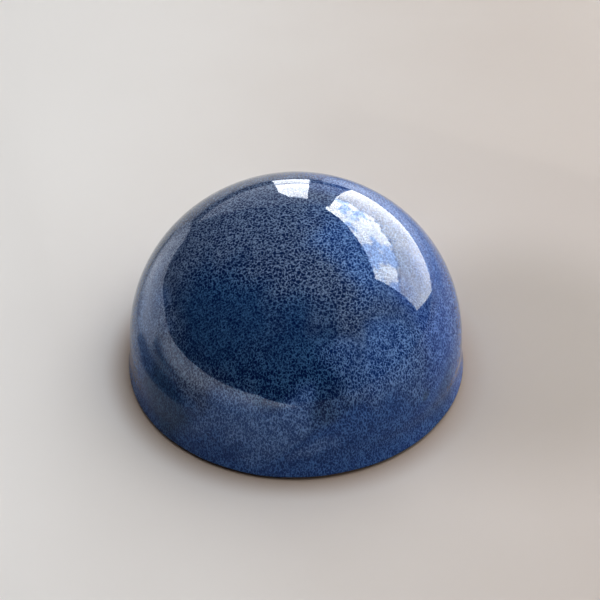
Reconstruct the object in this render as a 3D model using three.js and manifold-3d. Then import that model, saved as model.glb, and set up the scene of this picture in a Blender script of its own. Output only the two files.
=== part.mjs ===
// A stoneware yarn bowl standing rim down: a round-bottomed clay bowl, a glaze coat on its outside, a
// glaze liner on its inside, and a hook-shaped yarn guide cut through the wall at the back.
// Millimetres, +Z up. The origin is the centre of the ring that the rim stands on; the guide is at +Y.
import * as THREE from 'three';
import { mergeVertices } from 'three/addons/utils/BufferGeometryUtils.js';
import Module from 'manifold-3d';

// ---- driving dimensions: outside of the bowl
const RIM_RADIUS = 60.0;        // outside of the flared lip
const EQUATOR_RADIUS = 58.8;    // outside of the wall where it starts to close in
const EQUATOR_Z = 12.2;         // height of that level above the rim
const HEIGHT = 67.4;            // rim plane to the top of the round bottom
const LIP_Z = 0.8;              // fullest level of the slightly flared lip
const LIP_WIDTH = 2.6;
const WAIST_DEPTH = 0.4;        // the shallow finger groove above the lip
const WAIST_Z = 5.5;
const WAIST_WIDTH = 2.6;

// ---- driving dimensions: wall, glaze and clearances
const GLAZE = 0.6;              // thickness of either glaze layer
const GAP = 0.3;                // clearance between the clay and a glaze layer
const WALL = 6.3;               // both glazes and the clay together, at the wall
const BASE = 8.6;               // the same at the round bottom, which is thrown thicker
const BARE_OUTSIDE = LIP_Z;     // the outer glaze is wiped back this far above the rim plane
const BARE_INSIDE = 1.6;        // and the liner this far
const RIM_ROUNDING = 0.7;       // round-over of the clay rim's two edges

// ---- driving dimensions: the yarn guide, seen along Y, with x across and z up from the rim
const GUIDE_WIDTH = 7.0;
const HOOK_RADIUS = 9.0;        // centre line of the hook's half turn
const HOOK_Z = 20.0;            // centre of that half turn
const EYE_RADIUS = 4.75;
const EYE_Z = 15.5;
const CUT_NEAR_Y = 30.0;        // the cutters reach from here
const CUT_FAR_Y = 70.0;         // to here, so they pass through the back wall only

// ---- fineness
const SIDES = 48;               // facets round the bowl
const CROWN_STEPS = 12;         // steps from the equator to the top
const SKIRT_STEPS = 7;          // steps from the lip's edge to the equator
const ARC_STEPS = 24;           // facets in the guide's half turn and in its eye

const CROWN_HEIGHT = HEIGHT - EQUATOR_Z;

const wasm = await Module();
wasm.setup();

// How far a smooth hump of height 1 reaches at level z.
function hump(z, centre, width) {
  return Math.exp(-(((z - centre) / width) ** 2));
}

// Outside radius below the equator, with the flared lip and the groove above it.
function skirtRadius(z) {
  const waist = WAIST_DEPTH * hump(z, WAIST_Z, WAIST_WIDTH);
  const waistAtLip = WAIST_DEPTH * hump(LIP_Z, WAIST_Z, WAIST_WIDTH);
  const flare = RIM_RADIUS - EQUATOR_RADIUS + waistAtLip;
  return EQUATOR_RADIUS + flare * hump(z, LIP_Z, LIP_WIDTH) - waist;
}

// The crown above the equator: a quarter ellipse from the equator to the axis, inset from the outside.
function crown(inset, insetTop) {
  const points = [];
  for (let i = 0; i <= CROWN_STEPS; i += 1) {
    const u = (i / CROWN_STEPS) * (Math.PI / 2);
    const r = i === CROWN_STEPS ? 0 : (EQUATOR_RADIUS - inset) * Math.cos(u);
    points.push(new THREE.Vector2(r, EQUATOR_Z + (CROWN_HEIGHT - insetTop) * Math.sin(u)));
  }
  return points;
}

// A surface that follows the lip and the groove, from its lower edge up to the axis.
function lippedSurface(lowerEdge, inset) {
  const points = [];
  for (let i = 0; i < SKIRT_STEPS; i += 1) {
    const z = THREE.MathUtils.lerp(lowerEdge, EQUATOR_Z, i / SKIRT_STEPS);
    points.push(new THREE.Vector2(skirtRadius(z) - inset, z));
  }
  return [...points, ...crown(inset, inset)];
}

// A surface of the inside, straight below the equator, from its lower edge up to the axis.
function plainSurface(lowerEdge, inset, insetTop) {
  return [new THREE.Vector2(EQUATOR_RADIUS - inset, lowerEdge), ...crown(inset, insetTop)];
}

// Turns an outer and an inner surface, both listed upwards, into the solid between them.
function shell(outer, inner) {
  const geometry = new THREE.LatheGeometry([...inner.toReversed(), ...outer], SIDES);
  geometry.rotateX(Math.PI / 2);
  return toSolid(geometry);
}

// A three.js geometry as a manifold solid, with shared vertices merged and empty triangles dropped.
function toSolid(geometry) {
  geometry.deleteAttribute('normal');
  geometry.deleteAttribute('uv');
  const merged = mergeVertices(geometry);
  const corners = merged.index.array;
  const kept = [];
  for (let i = 0; i < corners.length; i += 3) {
    const [a, b, c] = corners.slice(i, i + 3);
    if (a !== b && b !== c && c !== a) kept.push(a, b, c);
  }
  return new wasm.Manifold(new wasm.Mesh({
    numProp: 3,
    vertProperties: new Float32Array(merged.attributes.position.array),
    triVerts: new Uint32Array(kept),
  }));
}

function toGeometry(solid) {
  const mesh = solid.getMesh();
  const geometry = new THREE.BufferGeometry();
  geometry.setAttribute('position', new THREE.BufferAttribute(mesh.vertProperties, 3));
  geometry.setIndex(new THREE.BufferAttribute(mesh.triVerts, 1));
  geometry.computeVertexNormals();
  return geometry;
}

// ---- the yarn guide's cutters
// The hook: straight up from below the rim, over a half turn, and down again to the eye.
function hookCutter() {
  const half = GUIDE_WIDTH / 2;
  const below = -5;
  const outline = new THREE.Shape();
  outline.moveTo(-half, below);
  outline.lineTo(half, below);
  outline.lineTo(half, HOOK_Z);
  outline.absarc(HOOK_RADIUS, HOOK_Z, HOOK_RADIUS - half, Math.PI, 0, true);
  outline.lineTo(2 * HOOK_RADIUS - half, EYE_Z);
  outline.lineTo(2 * HOOK_RADIUS + half, EYE_Z);
  outline.lineTo(2 * HOOK_RADIUS + half, HOOK_Z);
  outline.absarc(HOOK_RADIUS, HOOK_Z, HOOK_RADIUS + half, 0, Math.PI, false);
  outline.closePath();
  const depth = CUT_FAR_Y - CUT_NEAR_Y;
  const geometry = new THREE.ExtrudeGeometry(outline, {
    depth,
    bevelEnabled: false,
    curveSegments: ARC_STEPS,
  });
  geometry.rotateX(Math.PI / 2);
  geometry.translate(0, CUT_FAR_Y, 0);
  return toSolid(geometry);
}

function eyeCutter() {
  const length = CUT_FAR_Y - CUT_NEAR_Y;
  const geometry = new THREE.CylinderGeometry(EYE_RADIUS, EYE_RADIUS, length, ARC_STEPS);
  geometry.translate(2 * HOOK_RADIUS, (CUT_NEAR_Y + CUT_FAR_Y) / 2, EYE_Z);
  return toSolid(geometry);
}

const yarnGuide = hookCutter().add(eyeCutter());

// ---- the three layers
// The clay: outside under the glaze, inside under the liner, and a flat ring between them at the rim.
function stonewareBody() {
  const outer = lippedSurface(RIM_ROUNDING, GLAZE + GAP);
  const inner = plainSurface(RIM_ROUNDING, WALL - GLAZE - GAP, BASE - GLAZE - GAP);
  const ringOuter = new THREE.Vector2(outer[0].x - RIM_ROUNDING, 0);
  const ringInner = new THREE.Vector2(inner[0].x + RIM_ROUNDING, 0);
  return shell([ringOuter, ...outer], [ringInner, ...inner]);
}

function outerGlaze() {
  return shell(lippedSurface(BARE_OUTSIDE, 0), lippedSurface(BARE_OUTSIDE, GLAZE));
}

function linerGlaze() {
  const outer = plainSurface(BARE_INSIDE, WALL - GLAZE, BASE - GLAZE);
  const inner = plainSurface(BARE_INSIDE, WALL, BASE);
  return shell(outer, inner);
}

function part(name, solid, look) {
  const mesh = new THREE.Mesh(toGeometry(solid.subtract(yarnGuide)), new THREE.MeshStandardMaterial(look));
  mesh.name = name;
  return mesh;
}

const bowl = new THREE.Group();
bowl.add(part('stoneware_body', stonewareBody(), { color: 0xa98f72, roughness: 0.85, metalness: 0 }));
bowl.add(part('outer_glaze', outerGlaze(), { color: 0x556b8e, roughness: 0.08, metalness: 0 }));
bowl.add(part('liner_glaze', linerGlaze(), { color: 0x5e7395, roughness: 0.12, metalness: 0 }));

export default bowl;
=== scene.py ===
"""A glazed stoneware yarn bowl, standing rim down on a pale floor.

The clay, the outer glaze and the liner glaze are three closed meshes. All three come from one
description of the pot as a field: negative inside it, zero on its surface and positive outside.
Lengths are millimetres until the meshes are made. Angles round the bowl start at the front, -Y,
and the yarn guide is cut through the wall at the back, +Y. The stage is placed in metres, by
azimuths from +Y towards +X and by elevations. Materials measure in millimetres, except that the
windows' measure in shares of their distance.
"""
import math

import bpy
import numpy as np
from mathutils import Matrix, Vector


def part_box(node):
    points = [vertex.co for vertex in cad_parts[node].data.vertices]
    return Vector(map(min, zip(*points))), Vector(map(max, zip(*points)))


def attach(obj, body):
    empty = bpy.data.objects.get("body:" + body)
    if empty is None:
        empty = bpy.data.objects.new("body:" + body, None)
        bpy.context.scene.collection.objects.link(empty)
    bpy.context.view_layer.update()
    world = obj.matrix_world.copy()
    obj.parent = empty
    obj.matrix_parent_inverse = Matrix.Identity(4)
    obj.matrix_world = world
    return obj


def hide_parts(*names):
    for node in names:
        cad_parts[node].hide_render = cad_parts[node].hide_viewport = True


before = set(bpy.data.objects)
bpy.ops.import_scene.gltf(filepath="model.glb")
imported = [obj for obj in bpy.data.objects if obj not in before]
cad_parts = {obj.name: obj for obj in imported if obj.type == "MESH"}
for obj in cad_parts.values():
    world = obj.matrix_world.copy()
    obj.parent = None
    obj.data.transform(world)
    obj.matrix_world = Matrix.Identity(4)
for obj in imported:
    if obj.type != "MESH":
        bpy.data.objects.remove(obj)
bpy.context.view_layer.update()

MM = 0.001


def size_mm(node):
    """A CAD node's half width along X and its top, in millimetres."""
    low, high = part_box(node)
    return (high[0] - low[0]) / 2 / MM, high[2] / MM


# ---- sizes of the pot, from the CAD nodes
RIM_RADIUS, HEIGHT = size_mm("outer_glaze")
LINER_RADIUS, LINER_TOP = size_mm("liner_glaze")
GLAZE = 0.6                     # thickness of either glaze
INNER_RADIUS = LINER_RADIUS - GLAZE
INNER_TOP = LINER_TOP - GLAZE

# ---- sizes of the pot that the CAD boxes don't show
EQUATOR_RADIUS = RIM_RADIUS - 1.0
EQUATOR_Z = 12.2
EASE = 0.22                     # how softly the straight wall turns into the dome
LIP_Z, LIP_WIDTH = 0.4, 4.2
WAIST_DEPTH, WAIST_Z, WAIST_WIDTH = 0.2, 7.5, 3.0
RIM_ROUNDING = 1.3
BARE_OUTSIDE, BARE_INSIDE = 0.75, 1.6
GLAZE_EDGE = 0.9                # the glaze thins over this height above its lower edge
GLAZE_EDGE_WAVES = [(0.14, 3, 1), (0.1, 8, 0), (0.05, 19, 2)]  # height, number round the bowl, phase
GLAZE_UNDERLAP = 0.03           # the glaze layers reach this far into the clay

# ---- the yarn guide, seen along Y: x across and z up from the rim
GUIDE_START = -20.0             # well below the rim, so that the slot is open there
GUIDE_HALF_WIDTH = 3.5
HOOK_RADIUS, HOOK_Z = 9.0, 20.0
EYE_RADIUS, EYE_Z = 4.75, 15.5
EYE_BLEND = 2.0                 # how softly the slot widens into the eye
GUIDE_ROUNDING = 1.5
GUIDE_SPLIT = 0.12              # inside the guide the liner glaze covers this share of the wall
GUIDE_BREAK = 0.9               # the glaze turns brown this close to the guide

# ---- the grid that the fields are sampled on
FINE_STEP = 0.5
GUIDE_ARC = 148, 196            # degrees round the bowl, on either side of the guide
SHOULDER = 24                   # degrees up the dome, just above the guide
RIM_NODES = np.arange(-1.7, 3.2, 0.2)
ABOVE_RIM_NODES = 3.3
THROUGH_WALL = np.linspace(-0.22, 1.22, 24)  # 0 at the outside of the wall and 1 at its inside
CLAY_STEP, GLAZE_STEP = 2.0, 1.5


# ---- the pot as a field
def hump(z, centre, width):
    """1 at the centre, falling smoothly to almost 0 at twice the width away."""
    return np.exp(-(((z - centre) / width) ** 2))


def round_max(a, b, radius):
    """The larger of two fields, with the edge where they meet rounded."""
    corner = np.hypot(np.maximum(a + radius, 0), np.maximum(b + radius, 0))
    return np.minimum(np.maximum(a, b), -radius) + corner


def smooth_min(a, b, width):
    """The smaller of two fields, blended where they differ by less than width."""
    blend = np.maximum(width - np.abs(a - b), 0) / width
    return np.minimum(a, b) - blend * blend * width / 4


def dome(r, z, radius, top):
    """Straight wall below the equator, easing into an ellipse that closes on the axis at top."""
    climb = (z - EQUATOR_Z) / (top - EQUATOR_Z) * (1 - EASE * EASE / 4)
    rise = (climb + np.hypot(climb, EASE)) / 2
    return (np.hypot(r / radius, rise) - 1) * radius


def unevenness(angle, z):
    """How far a wall thrown by hand strays outwards: a slow swell and fine throwing rings."""
    swell = 0.14 * np.cos(2 * angle + 0.7) + 0.08 * np.cos(3 * angle - z / 30)
    rings = 0.02 * np.sin(z * 1.1 + 0.8 * np.sin(angle)) * hump(z, 16, 18)
    return swell + rings


def outer_radius(angle, z):
    """The lip flares a little, over a shallow groove that is deeper on the right, +X."""
    right = (1 + np.sin(angle)) / 2
    waist = WAIST_DEPTH * (0.3 + 0.7 * right) * hump(z, WAIST_Z, WAIST_WIDTH)
    flare = (RIM_RADIUS - EQUATOR_RADIUS) * hump(z, LIP_Z, LIP_WIDTH)
    return EQUATOR_RADIUS + flare - waist + unevenness(angle, z)


def to_segment(x, z, low, high, across):
    """Distance to an upright line at x = across, from low to high."""
    return np.hypot(x - across, z - np.clip(z, low, high))


def guide_field(x, z):
    """The opening of the yarn guide: up from the rim, over the hook and down to the eye."""
    entry = to_segment(x, z, GUIDE_START, HOOK_Z, 0)
    leg = to_segment(x, z, EYE_Z, HOOK_Z, 2 * HOOK_RADIUS)
    turn = np.abs(np.hypot(x - HOOK_RADIUS, z - HOOK_Z) - HOOK_RADIUS)
    turn = np.where(z > HOOK_Z, turn, np.inf)
    channel = np.minimum(np.minimum(entry, leg), turn) - GUIDE_HALF_WIDTH
    eye = np.hypot(x - 2 * HOOK_RADIUS, z - EYE_Z) - EYE_RADIUS
    return smooth_min(channel, eye, EYE_BLEND)


def polar(points):
    """Distance from the axis, angle round the bowl and height."""
    x, y, z = points[..., 0], points[..., 1], points[..., 2]
    return np.hypot(x, y), np.arctan2(x, -y) % (2 * math.pi), z


def clay_field(points):
    r, angle, z = polar(points)
    outside = dome(r, z, outer_radius(angle, z) - GLAZE, HEIGHT - GLAZE)
    inside = -dome(r, z, INNER_RADIUS + GLAZE, INNER_TOP + GLAZE)
    wall = round_max(np.maximum(outside, inside), -z, RIM_ROUNDING)
    cut = GLAZE - guide_field(points[..., 0], z)
    cut = np.where(points[..., 1] > 0, cut, -EQUATOR_RADIUS)
    return round_max(wall, cut, GUIDE_ROUNDING)


def outward(points):
    """From 0 at the inside of the wall to 1 at its outside."""
    r, _, z = polar(points)
    outer = dome(r, z, EQUATOR_RADIUS, HEIGHT)
    inner = dome(r, z, INNER_RADIUS, INNER_TOP)
    return inner / np.maximum(inner - outer, 1e-6)


def above_glaze_line(points):
    """Height above the wavering lower edge of the glaze."""
    _, angle, z = polar(points)
    side = np.clip(outward(points), 0, 1)
    waver = sum(height * np.sin(count * angle + phase) for height, count, phase in GLAZE_EDGE_WAVES)
    return z - (BARE_INSIDE + (BARE_OUTSIDE - BARE_INSIDE) * side + waver)


def glaze_depth(points):
    fullness = np.clip(above_glaze_line(points) / GLAZE_EDGE, 0, 1)
    return GLAZE * np.sin(fullness * math.pi / 2)


def glazed_field(points):
    return clay_field(points) - glaze_depth(points)


def slope(field, points):
    """The field's gradient, by central differences."""
    step = 0.01
    parts = []
    for axis in range(3):
        shift = np.zeros(3)
        shift[axis] = step
        parts.append((field(points + shift) - field(points - shift)) / (2 * step))
    return np.stack(parts, axis=-1)


def settle(field, points, rounds=4):
    """Moves points onto the field's surface and gives them with the surface's normals there."""
    flattest, furthest = 0.25, 0.5
    for _ in range(rounds):
        g = slope(field, points)
        square = np.maximum((g * g).sum(-1, keepdims=True), flattest)
        points = points - np.clip(field(points)[..., None] * g / square, -furthest, furthest)
    g = slope(field, points)
    return points, g / np.linalg.norm(g, axis=-1, keepdims=True)


# ---- the surface of a field as a mesh
def wall_grid(step):
    """Nodes round the bowl, from the rim to the axis and through the wall. step is the coarse spacing."""
    turn = math.degrees(1 / EQUATOR_RADIUS)
    start, end = GUIDE_ARC
    angles = np.radians(np.concatenate([
        np.arange(0, start, step * turn),
        np.arange(start, end, FINE_STEP * turn),
        np.arange(end, 360 - 0.5 * step * turn, step * turn),
    ]))
    skirt = np.concatenate([RIM_NODES, np.arange(ABOVE_RIM_NODES, EQUATOR_Z, FINE_STEP)])
    low = np.arange(0, SHOULDER, FINE_STEP * turn)
    high = np.linspace(SHOULDER, 90, int((90 - SHOULDER) / (step * turn)))
    climb = np.radians(np.concatenate([low, high]))

    def profile(radius, top):
        r = np.concatenate([np.full(len(skirt), radius), radius * np.cos(climb)])
        z = np.concatenate([skirt, EQUATOR_Z + (top - EQUATOR_Z) * np.sin(climb)])
        r[-1] = 0
        return np.stack([r, z], axis=-1)

    outer = profile(EQUATOR_RADIUS, HEIGHT)
    inner = profile(INNER_RADIUS, INNER_TOP)
    section = outer[:, None] + (inner - outer)[:, None] * THROUGH_WALL[None, :, None]
    r, z = section[..., 0], section[..., 1]
    around = angles[:, None, None]
    z = np.broadcast_to(z, (len(angles), *z.shape))
    return np.stack([r * np.sin(around), -r * np.cos(around), z], axis=-1)


def surface_net(nodes, field):
    """Vertices and quads of the field's zero surface. The grid closes on itself along its first axis
    and shrinks to a line on the axis at the end of its second."""
    nodes = np.concatenate([nodes, nodes[:1]])
    value = field(nodes)
    cells = tuple(n - 1 for n in value.shape)
    total, count = np.zeros((*cells, 3)), np.zeros(cells)
    crossings = []
    for axis in range(3):
        first, last = [slice(None)] * 3, [slice(None)] * 3
        first[axis], last[axis] = slice(None, -1), slice(1, None)
        a, b = value[tuple(first)], value[tuple(last)]
        crossed = (a < 0) != (b < 0)
        share = np.where(crossed, a / np.where(crossed, a - b, 1), 0)[..., None]
        at = np.where(crossed[..., None], nodes[tuple(first)] * (1 - share) + nodes[tuple(last)] * share, 0)
        others = [k for k in range(3) if k != axis]
        for ends in ((0, 0), (0, 1), (1, 0), (1, 1)):
            pick = [slice(None)] * 3
            for k, end in zip(others, ends):
                pick[k] = slice(1, None) if end else slice(None, -1)
            total += at[tuple(pick)]
            count += crossed[tuple(pick)]
        crossings.append((crossed, a < 0))
    used = count > 0
    index = np.full(cells, -1)
    index[used] = np.arange(used.sum())
    points = total[used] / count[used][:, None]

    quads = []
    around = cells[0]
    for axis in range(3):
        crossed, inside = crossings[axis]
        j, k = [n for n in range(3) if n != axis]
        where = np.argwhere(crossed)
        where = where[where[:, 0] < around]
        for side in [n for n in (1, 2) if n != axis]:
            where = where[(where[:, side] > 0) & (where[:, side] < cells[side])]
        corners = []
        for dj, dk in ((-1, -1), (0, -1), (0, 0), (-1, 0)):
            cell = where.copy()
            cell[:, j] += dj
            cell[:, k] += dk
            cell[:, 0] %= around
            corners.append(index[tuple(cell.T)])
        quad = np.stack(corners, axis=-1)
        flip = inside[tuple(where.T)] ^ (axis == 1)
        quad[flip] = quad[flip][:, ::-1]
        quads.append(quad)
    faces = np.concatenate(quads).tolist()

    # the small hole left round the axis, once at the outside and once at the inside
    crossed, inside = crossings[2]
    for k in np.flatnonzero(crossed[0, -1]):
        ring = index[:, -1, k]
        centre = len(points)
        points = np.concatenate([points, points[ring].mean(0, keepdims=True)])
        after = np.roll(ring, -1)
        turned = inside[0, -1, k]
        faces += [[a, centre, b] if turned else [b, centre, a] for a, b in zip(ring.tolist(), after.tolist())]
    return points, faces


def clip(points, faces, level):
    """Keeps the part of a mesh where level, one value a vertex, is positive."""
    points, level = list(points), list(level)
    new, kept = {}, []

    def crossing(a, b):
        key = (min(a, b), max(a, b))
        if key not in new:
            share = level[a] / (level[a] - level[b])
            new[key] = len(points)
            points.append(points[a] * (1 - share) + points[b] * share)
            level.append(0.0)
        return new[key]

    for face in faces:
        above = [level[i] > 0 for i in face]
        if all(above):
            kept.append(face)
        elif any(above):
            loop = []
            for n, a in enumerate(face):
                b = face[(n + 1) % len(face)]
                if above[n]:
                    loop.append(a)
                if above[n] != above[(n + 1) % len(face)]:
                    loop.append(crossing(a, b))
            kept.append(loop)
    used = sorted({i for face in kept for i in face})
    place = {old: n for n, old in enumerate(used)}
    return np.array([points[i] for i in used]), [[place[i] for i in face] for face in kept]


def thicken(points, normals, faces, depth):
    """Closes an open surface into a thin solid that reaches depth below it."""
    count = len(points)
    below = points - normals * depth[:, None]
    edges = {(a, b) for face in faces for a, b in zip(face, face[1:] + face[:1])}
    border = [(a, b) for a, b in edges if (b, a) not in edges]
    under = [[i + count for i in reversed(face)] for face in faces]
    sides = [[b, a, a + count, b + count] for a, b in sorted(border)]
    return np.concatenate([points, below]), np.concatenate([normals, -normals]), faces + under + sides


def make_piece(name, points, normals, faces, values):
    """A mesh object in metres, smooth shaded with the field's own normals, with named vertex values."""
    mesh = bpy.data.meshes.new(name)
    mesh.from_pydata((points * MM).tolist(), [], faces)
    mesh.shade_smooth()
    mesh.normals_split_custom_set_from_vertices(normals.tolist())
    for key, value in values.items():
        attribute = mesh.attributes.new(key, "FLOAT", "POINT")
        attribute.data.foreach_set("value", np.asarray(value, dtype=np.float32))
    piece = bpy.data.objects.new(name, mesh)
    bpy.context.scene.collection.objects.link(piece)
    return piece


def build_clay():
    points, faces = surface_net(wall_grid(CLAY_STEP), clay_field)
    points, normals = settle(clay_field, points)
    return make_piece("fired_clay", points, normals, faces, {})


def build_glaze(name, surface, outside):
    """The outer glaze, or the liner glaze, from the glazed surface. The two part inside the guide."""
    points, faces = surface
    side = outward(points) - GUIDE_SPLIT
    points, faces = clip(points, faces, side if outside else -side)
    points, faces = clip(points, faces, above_glaze_line(points))
    points, normals = settle(glazed_field, points, 0)
    depth = glaze_depth(points)
    thin = np.clip(1 - depth / GLAZE, 0, 1)
    edge = hump(guide_field(points[:, 0], points[:, 2]), 0, GUIDE_BREAK) * (points[:, 1] > 0)
    values = {"thin": np.tile(thin, 2), "edge": np.tile(edge, 2)}
    points, normals, faces = thicken(points, normals, faces, depth + GLAZE_UNDERLAP)
    return make_piece(name, points, normals, faces, values)


# ---- materials
class Shader:
    """A material's node tree, with a short way to add a node and set or link its inputs."""

    def __init__(self, name):
        self.material = bpy.data.materials.new(name)
        self.material.use_nodes = True
        self.tree = self.material.node_tree
        self.tree.nodes.clear()

    def add(self, kind, inputs=None, **settings):
        node = self.tree.nodes.new(kind)
        for key, value in settings.items():
            setattr(node, key, value)
        for key, value in (inputs or {}).items():
            if isinstance(value, bpy.types.NodeSocket):
                self.tree.links.new(value, node.inputs[key])
            else:
                node.inputs[key].default_value = value
        return node

    def place_mm(self, stretch=(1, 1, 1)):
        """The point on the object, in millimetres, with each axis scaled."""
        where = self.add("ShaderNodeTexCoord").outputs["Object"]
        scale = [s / MM for s in stretch]
        return self.add("ShaderNodeVectorMath", {0: where, 1: scale}, operation="MULTIPLY").outputs[0]

    def noise(self, where, per_mm, detail=2.0, roughness=0.5):
        inputs = {"Vector": where, "Scale": per_mm, "Detail": detail, "Roughness": roughness}
        return self.add("ShaderNodeTexNoise", inputs).outputs["Fac"]

    def centred(self, per_mm, where):
        """A coloured noise from -0.5 to 0.5 in each channel."""
        push = self.add("ShaderNodeTexNoise", {"Vector": where, "Scale": per_mm, "Detail": 1.0})
        inputs = {0: push.outputs["Color"], 1: (0.5, 0.5, 0.5)}
        return self.add("ShaderNodeVectorMath", inputs, operation="SUBTRACT").outputs[0]

    def net(self, where, per_mm, waver_mm, widen):
        """A pale net round dark spots: 1 on the net, 0 inside a spot. widen makes it paler."""
        inputs = {0: self.centred(per_mm * 2, where), 1: [waver_mm] * 3, 2: where}
        pushed = self.add("ShaderNodeVectorMath", inputs, operation="MULTIPLY_ADD").outputs[0]
        spots = self.add("ShaderNodeTexVoronoi", {"Vector": pushed, "Scale": per_mm},
                         feature="DISTANCE_TO_EDGE").outputs["Distance"]
        grain = self.noise(where, per_mm * 2.3, 2.0, 0.6)
        depth = self.math("MULTIPLY_ADD", grain, 1.0, self.math("SUBTRACT", spots, widen))
        return self.band(depth, 0.74, 0.42)

    def patch(self, where, centre, radius):
        """1 in the inner third of a soft round patch and 0 outside it."""
        away = self.add("ShaderNodeVectorMath", {0: where, 1: centre}, operation="DISTANCE")
        return self.band(away.outputs["Value"], radius, radius * 0.35)

    def band(self, value, low, high, to_low=0.0, to_high=1.0):
        """Value from low to high, smoothly stretched over to_low to to_high."""
        inputs = {"Value": value, "From Min": low, "From Max": high, "To Min": to_low, "To Max": to_high}
        return self.add("ShaderNodeMapRange", inputs, interpolation_type="SMOOTHSTEP").outputs["Result"]

    def stops(self, value, stops):
        """A smooth curve through stops, each a value and the result there."""
        (start, first), (end, second) = stops[:2]
        curve = self.band(value, start, end, first, second)
        for (start, before), (end, after) in zip(stops[1:], stops[2:]):
            curve = self.math("ADD", curve, self.band(value, start, end, 0.0, after - before))
        return curve

    def math(self, operation, a, b=0.0, c=0.0):
        return self.add("ShaderNodeMath", {0: a, 1: b, 2: c}, operation=operation).outputs[0]

    def blend(self, share, a, b):
        return self.add("ShaderNodeMix", {0: share, 2: a, 3: b}, data_type="FLOAT").outputs[0]

    def mix(self, share, a, b):
        """Mixes two colours, each a socket or red, green and blue."""
        a, b = [c if isinstance(c, bpy.types.NodeSocket) else (*c, 1) for c in (a, b)]
        return self.add("ShaderNodeMix", {0: share, 6: a, 7: b}, data_type="RGBA").outputs[2]

    def bump(self, height, distance_mm):
        inputs = {"Height": height, "Distance": distance_mm * MM, "Strength": 1.0}
        return self.add("ShaderNodeBump", inputs).outputs["Normal"]

    def finish(self, inputs):
        surface = self.add("ShaderNodeBsdfPrincipled", inputs).outputs[0]
        self.add("ShaderNodeOutputMaterial", {"Surface": surface})
        return self.material

    def glow(self, colour, strength):
        light = self.add("ShaderNodeEmission", {"Color": colour, "Strength": strength})
        self.add("ShaderNodeOutputMaterial", {"Surface": light.outputs[0]})
        return self.material


# pairs of colours for the glaze, its spots and the net round them
NAVY, SLATE = (0.012, 0.034, 0.11), (0.24, 0.32, 0.46)
INK, TEAL = (0.003, 0.022, 0.10), (0.09, 0.20, 0.36)
# the glaze's own blue with painted window light on it, brighter and bluer, used towards the back and right
LIT_ROYAL, LIT_LAVENDER = (0.009, 0.056, 0.26), (0.20, 0.36, 0.76)
DUSK, COBALT = (0.005, 0.032, 0.15), (0.12, 0.26, 0.55)
HAZE, MILK = (0.018, 0.062, 0.21), (0.25, 0.40, 0.68)
BREAK = (0.10, 0.075, 0.05)     # where the glaze is thin
OLIVE = (0.09, 0.11, 0.05)      # a few spots near the rim

# heights on the wall where the zones begin and are full, in millimetres
CROWN_ZONE, LOW_ZONE, OLIVE_ZONE = (36, 60), (36, 18), (24, 12)
WINDOW_LIGHT_ZONE = 4, 40              # painted window light: along +X, and less so along +Y
DRIFT_PER_MM, DRIFT_MM = 0.06, 30  # the zones and patches wander by up to about half of this
COARSE_SPOTS, FINE_SPOTS = 0.82, 1.1  # spots a millimetre
PATCHINESS = 0.36               # how much the net thickens and thins from place to place
OLIVE_PER_MM, OLIVE_SPAN = 0.045, (0.13, 0.05)
GLAZE_RIPPLE_MM, CLAY_GRAIN_MM = 0.03, 0.12
BUFF, PALE_BUFF, IRON = (0.20, 0.12, 0.07), (0.36, 0.25, 0.16), (0.06, 0.035, 0.02)

# soft patches where the glaze colour turns darker, duskier or milkier: centre and radius in millimetres. The
# dusky patch low on the right is painted shade; the milky patches are partly the glaze's own paler tone and
# partly painted reflection of pale cloth
INKY_PATCHES = [
    ((-26, -34, 48), 26), ((0, -46, 46), 21), ((2, -52, 37), 22), ((-44, -38, 16), 22), ((-5, -52, 36), 24),
]
DUSK_AND_SHADE_PATCHES = [((50, -33, 3), 20), ((17, -55, 18), 13)]
MILK_AND_REFLECTION_PATCHES = [
    ((28, -42, 38), 21), ((-12, -56, 23), 17), ((-48, -12, 32), 20), ((22, -12, 62), 24),
    ((-22, -53, 18), 15), ((1, -57, 26), 12), ((10, -58, 13), 9),
]


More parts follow.
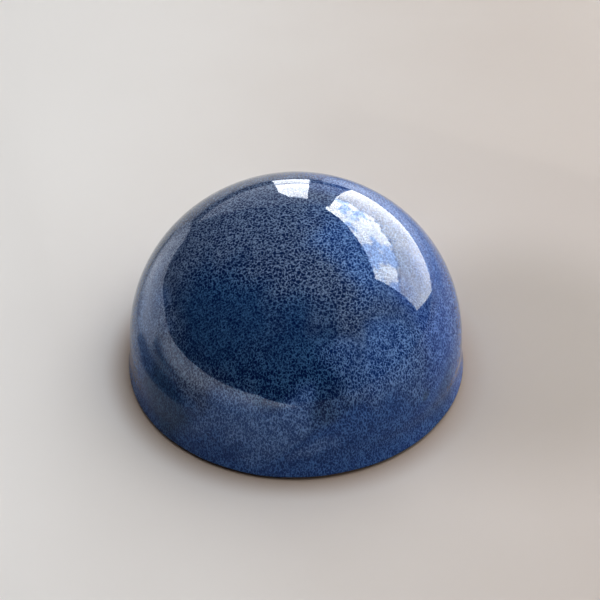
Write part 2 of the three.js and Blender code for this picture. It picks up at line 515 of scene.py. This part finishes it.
def speckled_glaze(name, paleness):
    """Glossy glaze with dark spots in a pale net. paleness mixes it towards plain slate."""
    s = Shader(name)
    where = s.place_mm()
    height = s.add("ShaderNodeSeparateXYZ", {0: where}).outputs["Z"]
    inputs = {0: s.centred(DRIFT_PER_MM, where), 1: [DRIFT_MM] * 3, 2: where}
    drift = s.add("ShaderNodeVectorMath", inputs, operation="MULTIPLY_ADD").outputs[0]
    wavy = s.add("ShaderNodeSeparateXYZ", {0: drift}).outputs

    # a pale net round dark spots: coarse on the crown, finer, fainter and drawn down the wall
    crown = s.band(wavy["Z"], *CROWN_ZONE)
    low = s.band(wavy["Z"], *LOW_ZONE)
    patches = s.math("MULTIPLY_ADD", s.noise(where, 0.3, 2.0, 0.6), PATCHINESS, -PATCHINESS / 2)
    coarse = s.net(where, COARSE_SPOTS, 0.7, s.math("MULTIPLY", patches, 0.5))
    fine = s.net(s.place_mm((1, 1, 0.5)), FINE_SPOTS, 0.6, patches)
    net = s.blend(crown, fine, coarse)
    net = s.blend(s.math("MULTIPLY", low, 0.3), net, 0.5)

    # its colours: slate with navy spots; bluer and paler towards the back and right, where window light is
    # painted into the glaze's own blue; darker, duskier or milkier in patches
    window_light = s.band(s.math("MULTIPLY_ADD", wavy["Y"], 0.6, wavy["X"]), *WINDOW_LIGHT_ZONE)
    zones = [(low, DUSK, COBALT), (window_light, LIT_ROYAL, LIT_LAVENDER)]
    zones += [(s.patch(drift, centre, radius), INK, TEAL) for centre, radius in INKY_PATCHES]
    # dusky patches, the one low on the right being painted shade
    zones += [(s.patch(drift, centre, radius), DUSK, COBALT) for centre, radius in DUSK_AND_SHADE_PATCHES]
    # milky patches: the glaze's own paler tone, partly painted reflection of pale cloth
    zones += [(s.patch(drift, centre, radius), HAZE, MILK) for centre, radius in MILK_AND_REFLECTION_PATCHES]
    dark, pale = NAVY, SLATE
    for zone, zone_dark, zone_pale in zones:
        dark, pale = s.mix(zone, dark, zone_dark), s.mix(zone, pale, zone_pale)
    body = s.mix(net, dark, pale)

    # a few small olive spots near the rim
    spot = s.add("ShaderNodeTexVoronoi", {"Vector": where, "Scale": OLIVE_PER_MM}).outputs["Distance"]
    near_rim = s.math("MULTIPLY", s.band(height, *OLIVE_ZONE), 0.6)
    body = s.mix(s.math("MULTIPLY", s.band(spot, *OLIVE_SPAN), near_rim), body, OLIVE)

    # the glaze turns brown where it is thin: along its lower edge and round the yarn guide
    thin = s.add("ShaderNodeAttribute", attribute_name="thin").outputs["Fac"]
    edge = s.add("ShaderNodeAttribute", attribute_name="edge").outputs["Fac"]
    bare = s.math("MAXIMUM", thin, s.math("MULTIPLY", edge, 0.5))
    colour = s.mix(paleness, s.mix(bare, body, BREAK), SLATE)

    ripple = s.noise(where, 0.16, 1.0)
    inputs = {
        "Base Color": colour,
        "Roughness": 0.035,
        "IOR": 1.5,
        "Specular IOR Level": 0.32,
        "Normal": s.bump(ripple, GLAZE_RIPPLE_MM),
    }
    return s.finish(inputs)


def bare_clay():
    """Matt buff clay with a sandy grain and small iron specks."""
    s = Shader("bare_stoneware")
    where = s.place_mm()
    grain = s.noise(where, 2.2, 4.0, 0.7)
    tone = s.mix(s.band(s.noise(where, 0.12, 3.0), 0.35, 0.65), BUFF, PALE_BUFF)
    iron = s.band(s.noise(where, 1.6, 1.0), 0.66, 0.72)
    colour = s.mix(iron, tone, IRON)
    inputs = {
        "Base Color": colour,
        "Roughness": s.band(grain, 0.3, 0.7, 0.75, 0.95),
        "Normal": s.bump(grain, CLAY_GRAIN_MM),
    }
    return s.finish(inputs)


# ---- the pieces
clay = build_clay()
net_points, net_faces = surface_net(wall_grid(GLAZE_STEP), glazed_field)
net_points, _ = settle(glazed_field, net_points)
coat = build_glaze("glaze_coat", (net_points, net_faces), True)
liner = build_glaze("glaze_liner", (net_points, net_faces), False)

clay.data.materials.append(bare_clay())
coat.data.materials.append(speckled_glaze("speckled_blue_glaze", 0.0))
liner.data.materials.append(speckled_glaze("liner_glaze", 0.12))

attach(clay, "root")
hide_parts("stoneware_body")
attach(coat, "root")
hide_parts("outer_glaze")
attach(liner, "root")
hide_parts("liner_glaze")


# ---- stage: a pale floor with painted shade, a dim room, and the windows and cards that the glaze mirrors
EYE_HEIGHT = 0.03               # metres: the middle of the bowl, which the panels are placed round
FLOOR_RADIUS, FLOOR_DROP = 4.0, 0.0001  # metres, just below the rim
# the floor's colour: pale on the left, and darker and browner on the right with painted shade
FLOOR_LEFT, FLOOR_RIGHT_SHADED = (0.80, 0.78, 0.76), (0.58, 0.52, 0.48)
PAINTED_SHADE, PAINTED_SHADE_CENTRE, PAINTED_SHADE_RADIUS = (0.47, 0.42, 0.38), (84, 4, 0), 84  # painted shade on the floor right of the bowl: its colour, then centre and radius in millimetres
# a painted contact shadow on the floor round the rim: its colour on the left and on the right, and the span
# from the rim over which it fades, in millimetres
CONTACT_SHADOW_LEFT, CONTACT_SHADOW_RIGHT = (0.58, 0.49, 0.42), (0.40, 0.32, 0.27)
LEFT_TO_RIGHT = -110, 170       # millimetres along X over which painted shade turns the floor darker
CONTACT_SHADOW_SPAN = RIM_RADIUS - 2, RIM_RADIUS + 10
BACKDROP_RADIUS = 0.9           # metres, beyond the camera of every view
BACKDROP_COLOUR, BACKDROP_RADIANCE = (0.95, 0.92, 0.90, 1), 0.42
SKY = (0.34, 0.50, 0.85)
SEAM_SPAN, SKY_SPAN = (0.006, 0.024), (0.53, 0.58)
CLOTH = (0.87, 0.91, 1.0, 1)
ROOM_COLOUR, ROOM_FRONT, ROOM_BACK = (0.92, 0.96, 1.0, 1), 0.005, 0.16
CAMERA_FOV, CAMERA_ELEVATION = 24.0, 40.1  # degrees
CAMERA_DISTANCE = 8.27 * EQUATOR_RADIUS  # millimetres
AIM_ASIDE, AIM_DOWN = 1.4, 2.2  # millimetres in the picture's plane

# outlines of the windows and cards: azimuth and elevation in degrees
BIG_WINDOW = [(14, -1.2), (62, -1.2), (81, 9), (81, 42), (64, 45), (40, 44), (15, 36)]
SMALL_WINDOW = [(-6, 0.5), (3.2, 0.5), (4.8, 29), (-3, 27.5), (-6.5, 21)]
FRONT_FOLD = [
    (-192, -13), (-165, -13), (-62, -13), (-78, 6.1), (-101, 3.2), (-130, 1.4), (-146, 1.2),
    (-160, 1.2), (-173, -1.9), (-186, -5.4), (-192, -5.9),
]
LEFT_FOLD = [
    (-104, -8), (-92, -14), (-76, -17), (-60, -15), (-36, -7), (-36, 5), (-45, 13), (-54, 16),
    (-67, 14), (-82, 11), (-93, 10.8), (-104, 8.2),
]
LEFT_SHADE = [
    (-134, -20), (-105, -21.5), (-84, -19.8), (-90, -12), (-98, -9.5), (-108, -8.5),
    (-124, -8.5), (-134, -14),
]
RIGHT_FOLD = [(8, -9), (62, -9), (62, 4), (45, 8), (30, 10.5), (8, 11)]
BACK_WALL = [(-33, 6), (14, 6), (16, 33), (-12, 36), (-28, 24)]


def build_floor():
    """A matt floor, pale on the left, with painted shade that makes it a little darker and warmer on the
    right and a painted contact shadow round the bowl.
    """
    bpy.ops.mesh.primitive_circle_add(vertices=96, radius=FLOOR_RADIUS, fill_type="NGON",
                                      location=(0, 0, -FLOOR_DROP))
    floor = bpy.context.object
    floor.name = "floor"
    s = Shader("floor")
    where = s.place_mm()
    across = s.add("ShaderNodeSeparateXYZ", {0: where}).outputs["X"]
    # 0 on the left and 1 on the right, where painted shade darkens the floor
    right = s.band(s.math("MULTIPLY_ADD", s.noise(where, 0.01, 3.0), 60, across), *LEFT_TO_RIGHT)
    flat = s.add("ShaderNodeVectorMath", {0: where, 1: (1, 1, 0)}, operation="MULTIPLY").outputs[0]
    out = s.add("ShaderNodeVectorMath", {0: flat}, operation="LENGTH").outputs["Value"]
    clear = s.band(out, *CONTACT_SHADOW_SPAN)
    colour = s.mix(right, FLOOR_LEFT, FLOOR_RIGHT_SHADED)
    # painted shade: a soft, darker and warmer patch on the floor to the right of the bowl
    colour = s.mix(s.patch(where, PAINTED_SHADE_CENTRE, PAINTED_SHADE_RADIUS), colour, PAINTED_SHADE)
    # painted contact shadow, darker on the right, in a ring just round the rim
    contact_shadow = s.mix(right, CONTACT_SHADOW_LEFT, CONTACT_SHADOW_RIGHT)
    inputs = {"Base Color": s.mix(clear, contact_shadow, colour), "Roughness": 0.8}
    floor.data.materials.append(s.finish(inputs))


def build_backdrop():
    """A pale wall round the stage that only the camera sees, for views close to the floor."""
    bpy.ops.mesh.primitive_cylinder_add(vertices=96, radius=BACKDROP_RADIUS, depth=4.0,
                                        end_fill_type="NOTHING", location=(0, 0, 1.9))
    wall = bpy.context.object
    wall.name = "backdrop"
    wall.visible_diffuse = wall.visible_glossy = wall.visible_transmission = wall.visible_shadow = False
    wall.data.materials.append(Shader("backdrop").glow(BACKDROP_COLOUR, BACKDROP_RADIANCE))


def build_panel(name, azimuth, distance, outline):
    """An upright panel that only reflections show, with an empty material, its outline in pairs of
    azimuth and elevation. Gives the material's shader and the direction along the panel, towards
    larger azimuths."""
    facing = math.radians(azimuth)
    away = Vector((math.sin(facing), math.cos(facing), 0))
    aside = Vector((math.cos(facing), -math.sin(facing), 0))
    corners = []
    for turn, climb in outline:
        across = distance * math.tan(math.radians(turn - azimuth))
        up = math.hypot(distance, across) * math.tan(math.radians(climb)) + EYE_HEIGHT
        corners.append(away * distance + aside * across + Vector((0, 0, up)))
    mesh = bpy.data.meshes.new(name)
    mesh.from_pydata(corners, [], [range(len(corners))])
    panel = bpy.data.objects.new(name, mesh)
    bpy.context.scene.collection.objects.link(panel)
    panel.visible_camera = panel.visible_diffuse = panel.visible_shadow = False
    s = Shader(name)
    mesh.materials.append(s.material)
    return s, aside


def build_window(name, azimuth, distance, outline, low, high, split, ragged, sky_share):
    """A window with the colour and radiance low below the split, an elevation, and high above it,
    with patches of blue sky. The line between them is dark, and ragged over a share of the distance."""
    s, _ = build_panel(name, azimuth, distance, outline)
    where = s.place_mm([MM / distance] * 3)
    rise = s.add("ShaderNodeSeparateXYZ", {0: where}).outputs["Z"]
    jagged = s.math("MULTIPLY_ADD", s.math("SUBTRACT", s.noise(where, 5.0, 5.0, 0.65), 0.5), ragged, rise)
    edge = math.tan(math.radians(split)) + EYE_HEIGHT / distance
    upper = s.band(jagged, edge, edge + 0.02)
    seam = s.band(s.math("ABSOLUTE", s.math("SUBTRACT", jagged, edge)), *SEAM_SPAN, 0.5, 1.0)
    haze = s.noise(where, 4.0, 3.0, 0.6)
    sky = s.math("MULTIPLY", s.band(haze, *SKY_SPAN), upper)
    glow = s.math("MULTIPLY", seam, s.band(haze, 0.3, 0.6, 1.08, 0.85))
    strength = s.math("MULTIPLY", glow, s.blend(upper, low[1], high[1]))
    colour = s.mix(s.math("MULTIPLY", sky, sky_share), s.mix(upper, low[0], high[0]), SKY)
    s.glow(colour, strength)


def build_card(name, azimuth, distance, outline, upwards, sideways):
    """A card that stands for a fold of pale cloth, its shade or a lit wall. upwards lists heights
    with its radiance there, and sideways lists places along it with the share of that left there,
    both in millimetres."""
    s, aside = build_panel(name, azimuth, distance, outline)
    where = s.place_mm()
    rise = s.add("ShaderNodeSeparateXYZ", {0: where}).outputs["Z"]
    along = s.add("ShaderNodeVectorMath", {0: where, 1: aside}, operation="DOT_PRODUCT").outputs["Value"]
    mottle = s.band(s.noise(where, 0.03, 3.0, 0.6), 0.3, 0.7, 0.88, 1.06)
    share = s.math("MULTIPLY", s.stops(along, sideways), mottle)
    s.glow(CLOTH, s.math("MULTIPLY", s.stops(rise, upwards), share))


def build_soft_light(name, azimuth, elevation, distance, width, colour, radiance):
    """A square soft light that faces the bowl. The glaze doesn't mirror it."""
    facing, climb = math.radians(azimuth), math.radians(elevation)
    level = math.cos(climb)
    away = Vector((math.sin(facing) * level, math.cos(facing) * level, math.sin(climb)))
    light = bpy.data.lights.new(name, "AREA")
    light.size = width
    light.energy = radiance * math.pi * width * width
    light.color = colour
    lamp = bpy.data.objects.new(name, light)
    lamp.location = away * distance
    lamp.rotation_euler = away.to_track_quat("Z", "Y").to_euler()
    lamp.visible_camera = lamp.visible_glossy = False
    bpy.context.scene.collection.objects.link(lamp)


def build_room():
    """A dim room, a little lighter behind the bowl than in front of it."""
    world = bpy.data.worlds.new("room")
    world.use_nodes = True
    bpy.context.scene.world = world
    tree = world.node_tree
    where = tree.nodes.new("ShaderNodeTexCoord").outputs["Generated"]
    towards = tree.nodes.new("ShaderNodeVectorMath")
    towards.operation = "DOT_PRODUCT"
    towards.inputs[1].default_value = (0.5, 0.86, 0)
    tree.links.new(where, towards.inputs[0])
    level = tree.nodes.new("ShaderNodeMapRange")
    level.interpolation_type = "SMOOTHSTEP"
    tree.links.new(towards.outputs["Value"], level.inputs["Value"])
    span = {"From Min": -0.5, "From Max": 0.9, "To Min": ROOM_FRONT, "To Max": ROOM_BACK}
    for key, value in span.items():
        level.inputs[key].default_value = value
    background = tree.nodes["Background"]
    background.inputs["Color"].default_value = ROOM_COLOUR
    tree.links.new(level.outputs[0], background.inputs["Strength"])


def build_camera():
    """The photograph's angle: from the front, -Y, and above."""
    camera = bpy.data.cameras.new("camera")
    camera.angle = math.radians(CAMERA_FOV)
    elevation = math.radians(CAMERA_ELEVATION)
    away = Vector((0, math.cos(elevation), -math.sin(elevation)))
    up = Vector((0, math.sin(elevation), math.cos(elevation)))
    aim = Vector((AIM_ASIDE * MM, 0, EQUATOR_RADIUS * MM / 2)) - up * AIM_DOWN * MM
    seat = bpy.data.objects.new("camera", camera)
    seat.location = aim - away * CAMERA_DISTANCE * MM
    seat.rotation_euler = away.to_track_quat("-Z", "Y").to_euler()
    bpy.context.scene.collection.objects.link(seat)
    bpy.context.scene.camera = seat


build_floor()
build_backdrop()
build_window("big_window", azimuth=58, distance=1.3, outline=BIG_WINDOW,
             low=((1.0, 0.97, 0.87), 5.6), high=((1.0, 0.99, 0.93), 12.0),
             split=24, ragged=0.55, sky_share=0.7)
build_window("small_window", azimuth=-1, distance=1.5, outline=SMALL_WINDOW,
             low=((0.95, 0.97, 1.0), 4.3), high=((0.97, 0.98, 1.0), 8.3),
             split=9, ragged=0.1, sky_share=0.1)
build_card("front_fold", azimuth=-125, distance=0.13, outline=FRONT_FOLD,
           upwards=[(0, 0.5), (22, 2.8)],
           sideways=[(-140, 1.3), (-80, 1.1), (-35, 0.8), (0, 0.9), (110, 0.45)])
build_card("left_fold", azimuth=-105, distance=0.08, outline=LEFT_FOLD,
           upwards=[(4, 0.5), (30, 1.4)],
           sideways=[(75, 1.0), (190, 0.45)])
build_card("right_fold", azimuth=30, distance=0.16, outline=RIGHT_FOLD,
           upwards=[(12, 0.6), (48, 1.5)],
           sideways=[(-60, 0.7), (-30, 1.0)])
build_card("left_shade", azimuth=-105, distance=0.078, outline=LEFT_SHADE,
           upwards=[(0, 0.26), (6, 0.12), (13, 0.2), (19, 0.85)],
           sideways=[(-43, 3.0), (-27, 1.0), (8, 1.0), (28, 1.6)])
build_card("back_wall", azimuth=-8, distance=1.6, outline=BACK_WALL,
           upwards=[(0, 1.0), (1000, 0.8)],
           sideways=[(-600, 0.9), (0, 1.0)])
build_soft_light("key", azimuth=110, elevation=55, distance=1.6, width=2.0,
                 colour=(0.97, 0.985, 1.0), radiance=0.83)
build_soft_light("overhead", azimuth=20, elevation=80, distance=1.7, width=2.8,
                 colour=(1.0, 0.99, 0.98), radiance=0.80)
build_room()
build_camera()
bpy.context.scene.view_settings.view_transform = "Standard"
bpy.context.scene.view_settings.look = "High Contrast"
